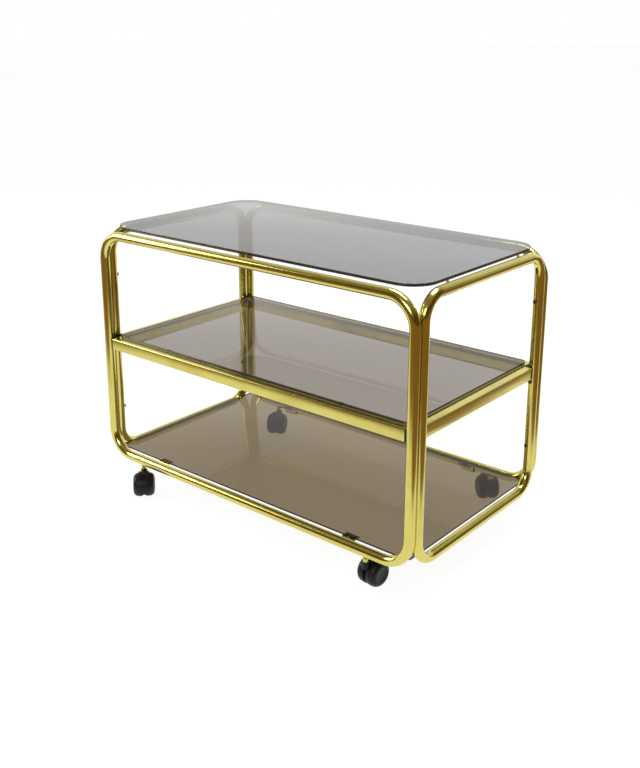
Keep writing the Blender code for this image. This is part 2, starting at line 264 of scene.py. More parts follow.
@dataclass(frozen=True)
class PolishedBrass(Finish):
    """Brass plate on steel tube: draw lines along the tube, cloudy tarnish and small dark spots.

    Attributes:
        along_tube: The mesh carries the attribute "run": (around x, around y, length along the tube).
        bright: Colour of clean plate.
        tarnish: Colour where it has dulled.
        roughness: Roughness of clean plate.
    """

    along_tube: bool = False
    bright: Colour = (0.68, 0.61, 0.17)
    tarnish: Colour = (0.52, 0.41, 0.08)
    roughness: float = 0.125

    def dress(self, graph: Graph) -> dict:
        """Nodes of the finish.

        Args:
            graph: The material's graph.

        Returns:
            Values and wires of the shader's sockets.
        """
        place = graph.object_space()
        grain = graph.attribute("run") if self.along_tube else place
        clouds = graph.noise(place, 9.0, 4.0, 0.6).fades(0.40, 0.72)
        streaks = graph.noise(graph.stretched(grain, (420.0, 420.0, 7.0)), 1.0, 4.0, 0.6)
        spots = graph.noise(place, 210.0, 2.0, 0.5).fades(0.74, 0.80)
        dull = clouds * 0.45 + spots * 0.8
        colour = graph.mix(dull, self.bright, self.tarnish)
        waves = graph.noise(place, 26.0, 2.0, 0.4)
        height = streaks * 0.10 + waves * 0.55 - spots * 0.3
        return {"Base Color": colour, "Metallic": 1.0,
                "Roughness": self.roughness + clouds * 0.05 + streaks * 0.05 + spots * 0.25,
                "Normal": graph.bump(height, 0.0006, 0.25)}


@dataclass(frozen=True)
class SmokedGlass(Finish):
    """Smoked glass plate: each face mirrors and clouds a share of the light, and passes the rest tinted.

    Attributes:
        passes: Tint of the light that a face passes; darker on the base plate, as painted shade.
        cloud: Colour of the haze that lit glass shows; darker on the base plate, as painted shade.
        cover: Share of light that one face holds back.
        low: Height of the plate's underside.
        high: Height of its upper face.
        rim: Colour of the rim, where light has a long way through the plate.
        rim_cover: Share of light that the rim holds back.
        arris: Width of the polished arrises.
    """

    passes: Colour
    cloud: Colour
    cover: float
    low: float
    high: float
    rim: Colour = (0.020, 0.017, 0.011)
    rim_cover: float = 0.97
    arris: float = 0.0009

    def material(self) -> bpy.types.Material:
        """Builds the finish."""
        return shade(self.name, self.dress, self._veil)

    def _rim(self, graph: Graph) -> Wire:
        """A mask of the rim.

        Args:
            graph: The material's graph.

        Returns:
            1 on the rim and 0 on the flat faces.
        """
        up = graph.pick(graph.node("ShaderNodeSeparateXYZ", {}, {0: graph.object_space()}), 2)
        half = (self.high - self.low) / 2
        from_middle = abs(up - (self.low + self.high) / 2)
        return 1 - from_middle.fades(half - 0.9 * self.arris, half - 0.1 * self.arris)

    def dress(self, graph: Graph) -> dict:
        """Nodes of the glass itself: a dark rim, faint wiping marks and specks of dust.

        Args:
            graph: The material's graph.

        Returns:
            Values and wires of the shader's sockets.
        """
        place = graph.object_space()
        wiping = graph.noise(graph.stretched(place, (5.0, 16.0, 5.0)), 1.0, 5.0, 0.65).fades(0.52, 0.80)
        dust = graph.noise(place, 700.0, 2.0, 0.5).fades(0.76, 0.82)
        return {"Base Color": graph.mix(self._rim(graph), self.cloud, self.rim), "IOR": 1.52,
                "Roughness": 0.02 + wiping * 0.03 + dust * 0.25}

    def _veil(self, graph: Graph, glass: Wire) -> Wire:
        """Mixes the glass over the tinted view through it.

        Args:
            graph: The material's graph.
            glass: The shader of the glass itself.

        Returns:
            The mixed shader.
        """
        through = graph.node("ShaderNodeBsdfTransparent", {}, {"Color": (*self.passes, 1.0)})
        held_back = self.cover + self._rim(graph) * (self.rim_cover - self.cover)
        return graph.node("ShaderNodeMixShader", {}, {0: held_back, 1: through, 2: glass})


@dataclass(frozen=True)
class MouldedPlastic(Finish):
    """Black moulded plastic with a fine spark-eroded grain and grey scuffs.

    Attributes:
        colour: Colour of the plastic.
        roughness: Its roughness between grains.
        scuffed: How much it is scuffed to grey, from 0 to 1.
    """

    colour: Colour = (0.004, 0.004, 0.0044)
    roughness: float = 0.40
    scuffed: float = 0.3

    def dress(self, graph: Graph) -> dict:
        """Nodes of the finish.

        Args:
            graph: The material's graph.

        Returns:
            Values and wires of the shader's sockets.
        """
        place = graph.object_space()
        grain = graph.noise(place, 1900.0, 2.0, 0.6)
        scuffs = graph.noise(graph.stretched(place, (90.0, 90.0, 260.0)), 1.0, 5.0, 0.7).fades(0.55, 0.78)
        lighter = tuple(0.012 + 1.6 * part for part in self.colour)
        return {"Base Color": graph.mix(scuffs * self.scuffed, self.colour, lighter),
                "Roughness": self.roughness + grain * 0.12 + scuffs * 0.15,
                "Specular IOR Level": 0.25, "Normal": graph.bump(grain, 0.00006, 0.35)}


@dataclass(frozen=True)
class ClearRubber(Finish):
    """Yellowed translucent rubber of the pads.

    Attributes:
        colour: Colour of clean rubber.
        grime: Colour where it is soiled.
    """

    colour: Colour = (0.55, 0.47, 0.30)
    grime: Colour = (0.20, 0.15, 0.08)

    def dress(self, graph: Graph) -> dict:
        """Nodes of the finish.

        Args:
            graph: The material's graph.

        Returns:
            Values and wires of the shader's sockets.
        """
        place = graph.object_space()
        haze = graph.noise(place, 320.0, 3.0, 0.5)
        soiled = graph.noise(place, 90.0, 3.0, 0.6).fades(0.5, 0.75)
        return {"Base Color": graph.mix(soiled, self.colour, self.grime),
                "Roughness": 0.30 + haze * 0.25, "Transmission Weight": 0.35, "IOR": 1.47,
                "Normal": graph.bump(haze, 0.0001, 0.3)}


@dataclass(frozen=True)
class Steel(Finish):
    """Bare or blackened steel with turning marks.

    Attributes:
        colour: Colour of the metal.
        roughness: Its roughness between marks.
    """

    colour: Colour
    roughness: float

    def dress(self, graph: Graph) -> dict:
        """Nodes of the finish.

        Args:
            graph: The material's graph.

        Returns:
            Values and wires of the shader's sockets.
        """
        place = graph.object_space()
        marks = graph.noise(graph.stretched(place, (260.0, 260.0, 2600.0)), 1.0, 3.0, 0.6)
        worn = graph.noise(place, 240.0, 4.0, 0.6).fades(0.5, 0.7)
        darker = tuple(part * 0.45 for part in self.colour)
        return {"Base Color": graph.mix(worn, self.colour, darker), "Metallic": 1.0,
                "Roughness": self.roughness + marks * 0.15 + worn * 0.1,
                "Normal": graph.bump(marks, 0.00005, 0.4)}


@dataclass
class Finishes:
    """All finishes of the trolley but the plates' own, built once."""

    tube: bpy.types.Material = field(default_factory=lambda: PolishedBrass("brass_tube", True).material())
    rail: bpy.types.Material = field(default_factory=lambda: PolishedBrass("brass_rail").material())
    plastic: bpy.types.Material = field(default_factory=lambda: MouldedPlastic("black_moulding").material())
    wheel: bpy.types.Material = field(
        default_factory=lambda: MouldedPlastic(
            "black_wheel_shell", (0.005, 0.005, 0.0055), roughness=0.34, scuffed=0.35).material())
    rubber: bpy.types.Material = field(default_factory=lambda: ClearRubber("clear_rubber_pad").material())
    dark: bpy.types.Material = field(
        default_factory=lambda: Steel("blackened_screw", (0.15, 0.11, 0.06), 0.30).material())
    bright: bpy.types.Material = field(
        default_factory=lambda: Steel("drawn_axle", (0.58, 0.58, 0.60), 0.25).material())


# Mesh helpers ----------------------------------------------------------------------------------------------


@dataclass(frozen=True)
class Box:
    """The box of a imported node.

    Attributes:
        low: Its lower corner.
        high: Its upper corner.
    """

    low: Vector
    high: Vector

    @classmethod
    def of(cls, node: str) -> "Box":
        """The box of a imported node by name."""
        return cls(*(Vector(corner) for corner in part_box(node)))

    @property
    def size(self) -> Vector:
        """Full size along each axis."""
        return self.high - self.low

    @property
    def centre(self) -> Vector:
        """The middle of the box."""
        return (self.low + self.high) / 2


def linked(name: str, data: bpy.types.ID) -> bpy.types.Object:
    """Puts data in the scene.

    Args:
        name: The object's name.
        data: Its mesh, light or camera.

    Returns:
        The object, at the origin.
    """
    item = bpy.data.objects.new(name, data)
    bpy.context.scene.collection.objects.link(item)
    return item


def plain_mesh(source: bpy.types.Object) -> bpy.types.Mesh:
    """Runs an object's modifiers into a plain mesh and removes them.

    Args:
        source: The object.

    Returns:
        The mesh, which the object doesn't use yet.
    """
    evaluated = source.evaluated_get(bpy.context.evaluated_depsgraph_get())
    mesh = bpy.data.meshes.new_from_object(evaluated)
    source.modifiers.clear()
    return mesh


def finish_mesh(name: str, shape: bmesh.types.BMesh, material: bpy.types.Material, sharp: float = 35.0
                ) -> bpy.types.Object:
    """Turns a mesh under construction into a linked object.

    Args:
        name: The piece's name.
        shape: The closed shape, already in place.
        material: Its finish.
        sharp: Angle in degrees over which an edge is sharp.

    Returns:
        The object.
    """
    bmesh.ops.remove_doubles(shape, verts=shape.verts, dist=WELD)
    bmesh.ops.recalc_face_normals(shape, faces=shape.faces)
    mesh = bpy.data.meshes.new(name)
    shape.to_mesh(mesh)
    shape.free()
    mesh.shade_smooth()
    mesh.set_sharp_from_angle(angle=math.radians(sharp))
    mesh.materials.append(material)
    return linked(name, mesh)


def settle(piece: bpy.types.Object, body: str, nodes: Iterable[str]) -> None:
    """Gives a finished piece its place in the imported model, and reports it.

    Args:
        piece: The piece.
        body: The body that it moves with.
        nodes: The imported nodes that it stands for.
    """
    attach(piece, body)
    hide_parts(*nodes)
    LOG.info("%s rides on %s, %d faces", piece.name, body, len(piece.data.polygons))


def rounded_loop(length: float, width: float, radius: float, steps: int) -> Outline:
    """Points of a rounded rectangle, counter-clockwise.

    Args:
        length: Full size along the first axis.
        width: Full size along the second axis.
        radius: Corner radius.
        steps: Segments in each corner.

    Returns:
        The points.
    """
    points = []
    for quarter, (sx, sy) in enumerate(((1, 1), (-1, 1), (-1, -1), (1, -1))):
        for step in range(steps + 1):
            angle = math.radians(90 * (quarter + step / steps))
            points.append((sx * (length / 2 - radius) + radius * math.cos(angle),
                           sy * (width / 2 - radius) + radius * math.sin(angle)))
    return points


def skin(shape: bmesh.types.BMesh, rings: Sequence[Sequence[Vector]], closed: bool, capped: bool) -> None:
    """Adds quads between equal rings of points.

    Args:
        shape: The mesh under construction.
        rings: Rings of points, each closed on itself.
        closed: The last ring joins the first.
        capped: The first and the last ring get a face.
    """
    made = [[shape.verts.new(point) for point in ring] for ring in rings]
    pairs = list(zip(made, made[1:])) + ([(made[-1], made[0])] if closed else [])
    for ring, following in pairs:
        for side, vert in enumerate(ring):
            after = (side + 1) % len(ring)
            shape.faces.new((vert, ring[after], following[after], following[side]))
    if capped:
        shape.faces.new(reversed(made[0]))
        shape.faces.new(made[-1])


def turned(points: Outline, sides: int, place: Matrix) -> bmesh.types.BMesh:
    """A solid turned about its Z axis. Its faces come in the same order in every run.

    Args:
        points: Half section as (radius, z), from axis to axis.
        sides: Segments round the axis.
        place: Where the solid goes.

    Returns:
        The mesh.
    """
    shape = bmesh.new()
    rings = []
    for radius, z in points:
        around = oval((0, 0), radius, radius, (360 * side / sides for side in range(sides if radius else 1)))
        rings.append([shape.verts.new(place @ Vector((x, y, z))) for x, y in around])
    for ring, following in zip(rings, rings[1:]):
        for side in range(sides):
            pair = (side, (side + 1) % sides)
            corners = [ring[turn % len(ring)] for turn in pair]
            corners += [following[turn % len(following)] for turn in reversed(pair)]
            shape.faces.new(list(dict.fromkeys(corners)))       # a point on the axis counts once
    return shape


def oval(centre: tuple[float, float], across: float, up: float, degrees: Iterable[float]) -> Outline:
    """Points of an oval at these angles in degrees."""
    angles = [math.radians(angle) for angle in degrees]
    return [(centre[0] + across * math.cos(angle), centre[1] + up * math.sin(angle)) for angle in angles]


def arc(centre: tuple[float, float], radius: float, start: float, end: float, steps: int) -> Outline:
    """Points of an arc between two angles in degrees."""
    return oval(centre, radius, radius, (start + (end - start) * step / steps for step in range(steps + 1)))


def grown(name: str, seed_mesh: bpy.types.Mesh, tree: bpy.types.NodeTree, values: dict) -> bpy.types.Object:
    """Runs a geometry tree and keeps its result as a plain mesh.

    Args:
        name: The piece's name.
        seed_mesh: What the tree starts from.
        tree: The tree.
        values: Its inputs by name.

    Returns:
        The piece, without a modifier.
    """
    source = linked(f"{name}_source", seed_mesh)
    modifier = source.modifiers.new("grow", "NODES")
    modifier.node_group = tree
    for item in tree.interface.items_tree:
        if item.item_type == "SOCKET" and item.in_out == "INPUT" and item.name in values:
            modifier[item.identifier] = values[item.name]
    mesh = plain_mesh(source)
    mesh.name = name
    bpy.data.objects.remove(source, do_unlink=True)
    return linked(name, mesh)


def geometry_graph(name: str, inputs: Sequence[tuple[str, str]]) -> tuple[Graph, Wire]:
    """Starts a geometry tree.

    Args:
        name: The tree's name.
        inputs: Its inputs after Geometry, as (name, socket type).

    Returns:
        The graph and its group input.
    """
    tree = bpy.data.node_groups.new(name, "GeometryNodeTree")
    graph = Graph(tree)
    tree.interface.new_socket("Geometry", in_out="INPUT", socket_type="NodeSocketGeometry")
    for label, kind in inputs:
        tree.interface.new_socket(label, in_out="INPUT", socket_type=kind)
    tree.interface.new_socket("Geometry", in_out="OUTPUT", socket_type="NodeSocketGeometry")
    return graph, graph.node("NodeGroupInput")


def end_geometry(graph: Graph, shape: Wire, material: Wire) -> bpy.types.NodeTree:
    """Ends a geometry tree in plain, dressed geometry.

    Args:
        graph: The tree's graph.
        shape: What the tree has made.
        material: Its finish.

    Returns:
        The finished tree.
    """
    real = graph.node("GeometryNodeRealizeInstances", {}, {"Geometry": shape})
    dressed = graph.node("GeometryNodeSetMaterial", {}, {"Geometry": real, "Material": material})
    graph.node("NodeGroupOutput", {}, {0: dressed})
    return graph.tree


# Sub-assemblies --------------------------------------------------------------------------------------------


@dataclass
class Hoops:
    """The four bent tube hoops.

    Attributes:
        radius: Outer radius of the tube.
        length: Between the leg axes of a long hoop.
        depth: Between the planes of the long hoops.
        bottom: Height of the lower tubes' axis.
        top: Height of the upper tubes' axis.
        long_bend: Bend radius of a long hoop at the tube's axis.
        side_bend: Bend radius of a side hoop.
        side_step: How far the side hoops stand outside the long hoops' legs.
        sides: Segments round the tube.
        bend_steps: Points in each bend.
    """

    radius: float = 0.010
    length: float = 0.784
    depth: float = 0.436
    bottom: float = 0.071
    top: float = 0.558
    long_bend: float = 0.054
    side_bend: float = 0.045
    side_step: float = 0.0034
    sides: int = 56
    bend_steps: int = 20

    @property
    def middle(self) -> float:
        """Height of the hoops' middle."""
        return (self.bottom + self.top) / 2

    @property
    def side_leg(self) -> float:
        """Distance of a side hoop's leg axis from the middle plane."""
        return self.depth / 2 - math.sqrt((2 * self.radius + GAP) ** 2 - self.side_step ** 2)

    def tree(self) -> bpy.types.NodeTree:
        """Geometry tree of a bent tube: a filleted rectangle with a circle swept along it.

        Returns:
            The tree. Its mesh carries "run": (around x, around y, length along the tube).
        """
        kinds = {"Width": "Float", "Height": "Float", "Bend Radius": "Float", "Tube Radius": "Float",
                 "Bend Steps": "Int", "Sides": "Int", "Place": "Vector", "Turn": "Vector",
                 "Finish": "Material"}
        inputs = [(name, f"NodeSocket{kind}") for name, kind in kinds.items()]
        graph, given = geometry_graph("bent_tube", inputs)
        size = {name: graph.pick(given, name) for name in kinds}
        path = graph.node("GeometryNodeCurvePrimitiveQuadrilateral", {},
                          {"Width": size["Width"], "Height": size["Height"]})
        bent = graph.node("GeometryNodeFilletCurve", {"mode": "POLY"}, {
            "Curve": path, "Radius": size["Bend Radius"], "Count": size["Bend Steps"]})
        along = graph.pick(graph.node("GeometryNodeSplineParameter"), "Length")
        travel = graph.node("GeometryNodeCaptureAttribute", {"domain": "POINT", "captures": "FLOAT"},
                            {0: bent, 1: along})
        ring = graph.node("GeometryNodeCurvePrimitiveCircle", {},
                          {"Resolution": size["Sides"], "Radius": size["Tube Radius"]})
        around = graph.node("GeometryNodeCaptureAttribute", {"domain": "POINT", "captures": "VECTOR"},
                            {0: ring, 1: graph.node("GeometryNodeInputPosition")})
        tube = graph.node("GeometryNodeCurveToMesh", {}, {"Curve": travel, "Profile Curve": around})
        parts = graph.node("ShaderNodeSeparateXYZ", {}, {0: graph.pick(around, 1)})
        run = graph.node("ShaderNodeCombineXYZ", {}, {
            0: parts, 1: graph.pick(parts, 1), 2: graph.pick(travel, 1)})
        named = graph.node("GeometryNodeStoreNamedAttribute", {"data_type": "FLOAT_VECTOR"},
                           {"Geometry": tube, "Name": "run", "Value": run})
        smooth = graph.node("GeometryNodeSetShadeSmooth", {}, {"Geometry": named})
        upright = graph.node("GeometryNodeTransform", {}, {
            "Geometry": smooth, "Rotation": (math.radians(90), 0.0, 0.0)})
        placed = graph.node("GeometryNodeTransform", {}, {
            "Geometry": upright, "Translation": size["Place"], "Rotation": size["Turn"]})
        return end_geometry(graph, placed, size["Finish"])

    def build(self, finishes: Finishes) -> None:
        """Makes the hoops.

        Args:
            finishes: The trolley's finishes.
        """
        tree = self.tree()
        quarter = math.radians(90)
        plane, outside = self.depth / 2, self.length / 2 + self.side_step
        long_hoop, side_hoop = (self.length, self.long_bend), (2 * self.side_leg, self.side_bend)
        wanted = [("front_hoop", *long_hoop, (0, -plane, self.middle), 0.0),
                  ("rear_hoop", *long_hoop, (0, plane, self.middle), 0.0),
                  ("left_hoop", *side_hoop, (-outside, 0, self.middle), quarter),
                  ("right_hoop", *side_hoop, (outside, 0, self.middle), quarter)]
        for node, width, bend, place, turn in wanted:
            piece = grown(f"{node}_tube", bpy.data.meshes.new("seed"), tree, {
                "Width": width, "Height": self.top - self.bottom, "Bend Radius": bend,
                "Tube Radius": self.radius, "Bend Steps": self.bend_steps, "Sides": self.sides,
                "Place": place, "Turn": (0.0, 0.0, turn), "Finish": finishes.tube})
            settle(piece, "frame", [node])


@dataclass
class Brackets:
    """Bent plates welded under the long hoops' lower tubes, which carry the base glass.

    Attributes:
        x: Distance of a bracket's middle from the trolley's.
        width: Width of a bracket.
        plate: Thickness of its plate.
        tail: Where the lower flange starts, inward from the tube's axis.
        riser: Where the riser stands.
        reach: Where the upper flange ends.
        flange: Top of the upper flange, over the tube's axis.
        sunk: Underside of the lower flange, under the tube's axis.
        bend: Inner radius of the bent corners.
        outer_steps: Segments round the outside of a corner.
        inner_steps: Segments round its inside.
    """

    x: float = 0.250
    width: float = 0.030
    plate: float = 0.002
    tail: float = 0.001
    riser: float = 0.0112
    reach: float = 0.028
    flange: float = 0.0057
    sunk: float = 0.0114
    bend: float = 0.0014
    outer_steps: int = 5
    inner_steps: int = 4

    def outline(self) -> Outline:
        """Section with bent corners.

        Returns:
            Points as (inward from the tube's axis, height over it).
        """
        low, high = -self.sunk, self.flange
        outer, inner = self.bend + self.plate, self.bend
        wall = self.riser + self.plate
        points = [(self.tail, low)]
        points += arc((wall - outer, low + outer), outer, -90, 0, self.outer_steps)
        points += arc((wall + inner, high - self.plate - inner), inner, 180, 90, self.inner_steps)
        points += [(self.reach, high - self.plate), (self.reach, high)]
        points += arc((self.riser + outer, high - outer), outer, 90, 180, self.outer_steps)
        points += arc((self.riser - inner, low + self.plate + inner), inner, 0, -90, self.inner_steps)
        points += [(self.tail, low + self.plate)]
        return points

    def build(self, hoops: Hoops, finishes: Finishes) -> None:
        """Makes the brackets, the two of each long hoop as one piece.

        Args:
            hoops: The hoops that they are welded to.
            finishes: The trolley's finishes.
        """
        for name, side in (("front", -1), ("rear", 1)):
            shape = bmesh.new()
            for sx in (-1, 1):
                rings = []
                for cut in (-0.5, 0.5):
                    x = sx * self.x + cut * self.width
                    rings.append([Vector((x, side * (hoops.depth / 2 - inward), hoops.bottom + up))
                                  for inward, up in self.outline()])
                skin(shape, rings, closed=False, capped=True)
            piece = finish_mesh(f"{name}_base_brackets", shape, finishes.rail)
            settle(piece, "frame", [])


@dataclass
class ShelfRails:
    """Rectangular tube rails of the middle shelf; their plugs stay as packed.

    Attributes:
        wall: Wall thickness.
        rounding: Radius of the long edges.
        steps: Segments in each rounded edge.
    """

    wall: float = 0.0015
    rounding: float = 0.0022
    steps: int = 6

    def build(self, finishes: Finishes) -> None:
        """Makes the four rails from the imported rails' boxes.

        Args:
            finishes: The trolley's finishes.
        """
        for name in ("front", "rear", "left", "right"):
            box = Box.of(f"{name}_rail")
            size = box.size
            lies_along_x = size.x > size.y
            length, width = (size.x, size.y) if lies_along_x else (size.y, size.x)
            outer = rounded_loop(width, size.z, self.rounding, self.steps)
            inner = rounded_loop(width - 2 * self.wall, size.z - 2 * self.wall,
                                 self.rounding - self.wall, self.steps)
            rings = [[Vector((along, across, up)) for across, up in loop]
                     for along, loop in ((-length / 2, outer), (length / 2, outer),
                                         (length / 2, inner), (-length / 2, inner))]
            shape = bmesh.new()
            skin(shape, rings, closed=True, capped=False)
            turn = Matrix() if lies_along_x else Matrix.Rotation(math.radians(90), 4, "Z")
            bmesh.ops.transform(shape, matrix=Matrix.Translation(box.centre) @ turn, verts=shape.verts)
            piece = finish_mesh(f"{name}_shelf_rail", shape, finishes.rail)
            settle(piece, "frame", [f"{name}_rail"])


@dataclass
class Plate:
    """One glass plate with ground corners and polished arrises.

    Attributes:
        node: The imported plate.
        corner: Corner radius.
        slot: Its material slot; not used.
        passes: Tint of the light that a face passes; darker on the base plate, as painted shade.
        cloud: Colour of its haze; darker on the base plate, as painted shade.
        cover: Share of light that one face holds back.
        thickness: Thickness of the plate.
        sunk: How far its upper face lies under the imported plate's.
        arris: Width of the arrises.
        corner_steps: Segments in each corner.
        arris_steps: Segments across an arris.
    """

    node: str
    corner: float
    slot: Slot
    passes: Colour
    cloud: Colour
    cover: float
    thickness: float = 0.006
    sunk: float = 0.0
    arris: float = 0.0009
    corner_steps: int = 24
    arris_steps: int = 3

    @property
    def top(self) -> float:
        """Height of the upper face."""
        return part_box(self.node)[1][2] - self.sunk

    @property
    def underside(self) -> float:
        """Height of the lower face."""
        return self.top - self.thickness

    def build(self) -> None:
        """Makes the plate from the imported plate's box."""
        box = Box.of(self.node)
        edge = arc((self.arris, self.arris), self.arris, 270, 180, self.arris_steps)
        levels = [(inset, self.underside + up) for inset, up in edge]
        levels += [(inset, self.top - up) for inset, up in reversed(edge)]
        rings = []
        for inset, z in levels:
            loop = rounded_loop(box.size.x - 2 * inset, box.size.y - 2 * inset, self.corner - inset,
                                self.corner_steps)
            rings.append([Vector((box.centre.x + x, box.centre.y + y, z)) for x, y in loop])
        shape = bmesh.new()
        skin(shape, rings, closed=False, capped=True)
        glass = SmokedGlass(f"{self.node}_smoked", self.passes, self.cloud, self.cover,
                            low=self.underside, high=self.top)
        piece = finish_mesh(f"{self.node}_plate", shape, glass.material(), sharp=80.0)
        settle(piece, "frame", [self.node])


@dataclass(frozen=True)
class ButtonScrew:
    """A button-head corner screw, measured down from the top of its head.

    Attributes:
        head: Height of the head.
        domed: Height of its domed part.
        radius: Radius of the head.
        shank: Radius of the shank.
        length: From the top of the head to the tip.
        tip: Length of the tapered tip.
        dome_angles: Where the dome has points, in degrees from its rim.
        socket: Radius and depth of the points of the key's socket.
    """

    head: float = 0.0026
    domed: float = 0.00143
    radius: float = 0.0042
    shank: float = 0.0019
    length: float = 0.0300
    tip: float = 0.001
    dome_angles: tuple[int, ...] = (0, 15, 30, 45, 60, 72)
    socket: tuple[tuple[float, float], ...] = (
        (0.0013, 0.00005), (0.00115, 0.0004), (0.0011, 0.0014), (0, 0.0015))

    def section(self) -> Outline:
        """Half section.

        Returns:
            Points as (radius, height), with the top of the head at 0.
        """
        points = [(0, -self.length), (self.shank * 0.6, -self.length), (self.shank, -self.length + self.tip),
                  (self.shank, -self.head), (self.radius, -self.head + GAP)]
        points += oval((0, -self.domed), self.radius, self.domed, self.dome_angles)
        return points + [(radius, -depth) for radius, depth in self.socket]


@dataclass(frozen=True)
class RingedPad:
    """A round pad with a raised rim and a button in its middle, measured up from its foot.

    Attributes:
        radius: Outer radius.
        thick: Height of the rim.
        rim: Inner radius of the rim.
        button: Radius of the button.
    """

    radius: float = 0.006
    thick: float = 0.0010
    rim: float = 0.0036
    button: float = 0.0015

    def section(self) -> Outline:
        """Half section.

        Returns:
            Points as (radius, height).
        """
        draft, soft, thick = 0.0003, 0.0002, self.thick
        return [(0, 0), (self.radius - soft, 0), (self.radius, soft), (self.radius, thick * 0.7),
                (self.radius - draft, thick), (self.rim, thick), (self.rim - draft, thick * 0.55),
                (self.button + draft, thick * 0.5), (self.button, thick * 0.9), (0, thick)]


@dataclass(frozen=True)
class TopPad:
    """A clear stub between a side hoop's upper tube and the top plate.

    Attributes:
        inset: Its distance from the tube's crown line, towards the middle.
        y: Its distance from the trolley's middle.
        radius: Its radius.
        foot_bevel: Height of the bevel at its foot.
        plate_gap: Height of the plate's underside over the crown.
        lift: Height of its foot over the tube's flank.
        play: Drawn clearance under the plate.
    """

    inset: float = 0.0075
    y: float = 0.120
    radius: float = 0.0024
    foot_bevel: float = 0.0006
    plate_gap: float = 0.0012
    lift: float = 0.0004
    play: float = 0.0002

    def foot(self, tube: float) -> float:
        """Height of the foot over the crown, which is below 0, on a tube of that radius."""
        return math.sqrt(tube ** 2 - self.inset ** 2) - tube + self.lift

    def section(self, tube: float) -> Outline:
        """Half section.

        Args:
            tube: Outer radius of the tube.

        Returns:
            Points as (radius, height over the foot).
        """
        soft = 0.0002
        height = self.plate_gap - self.play - self.foot(tube)
        return [(0, 0), (self.radius - soft, 0), (self.radius, self.foot_bevel), (self.radius, height - soft),
                (0, height)]


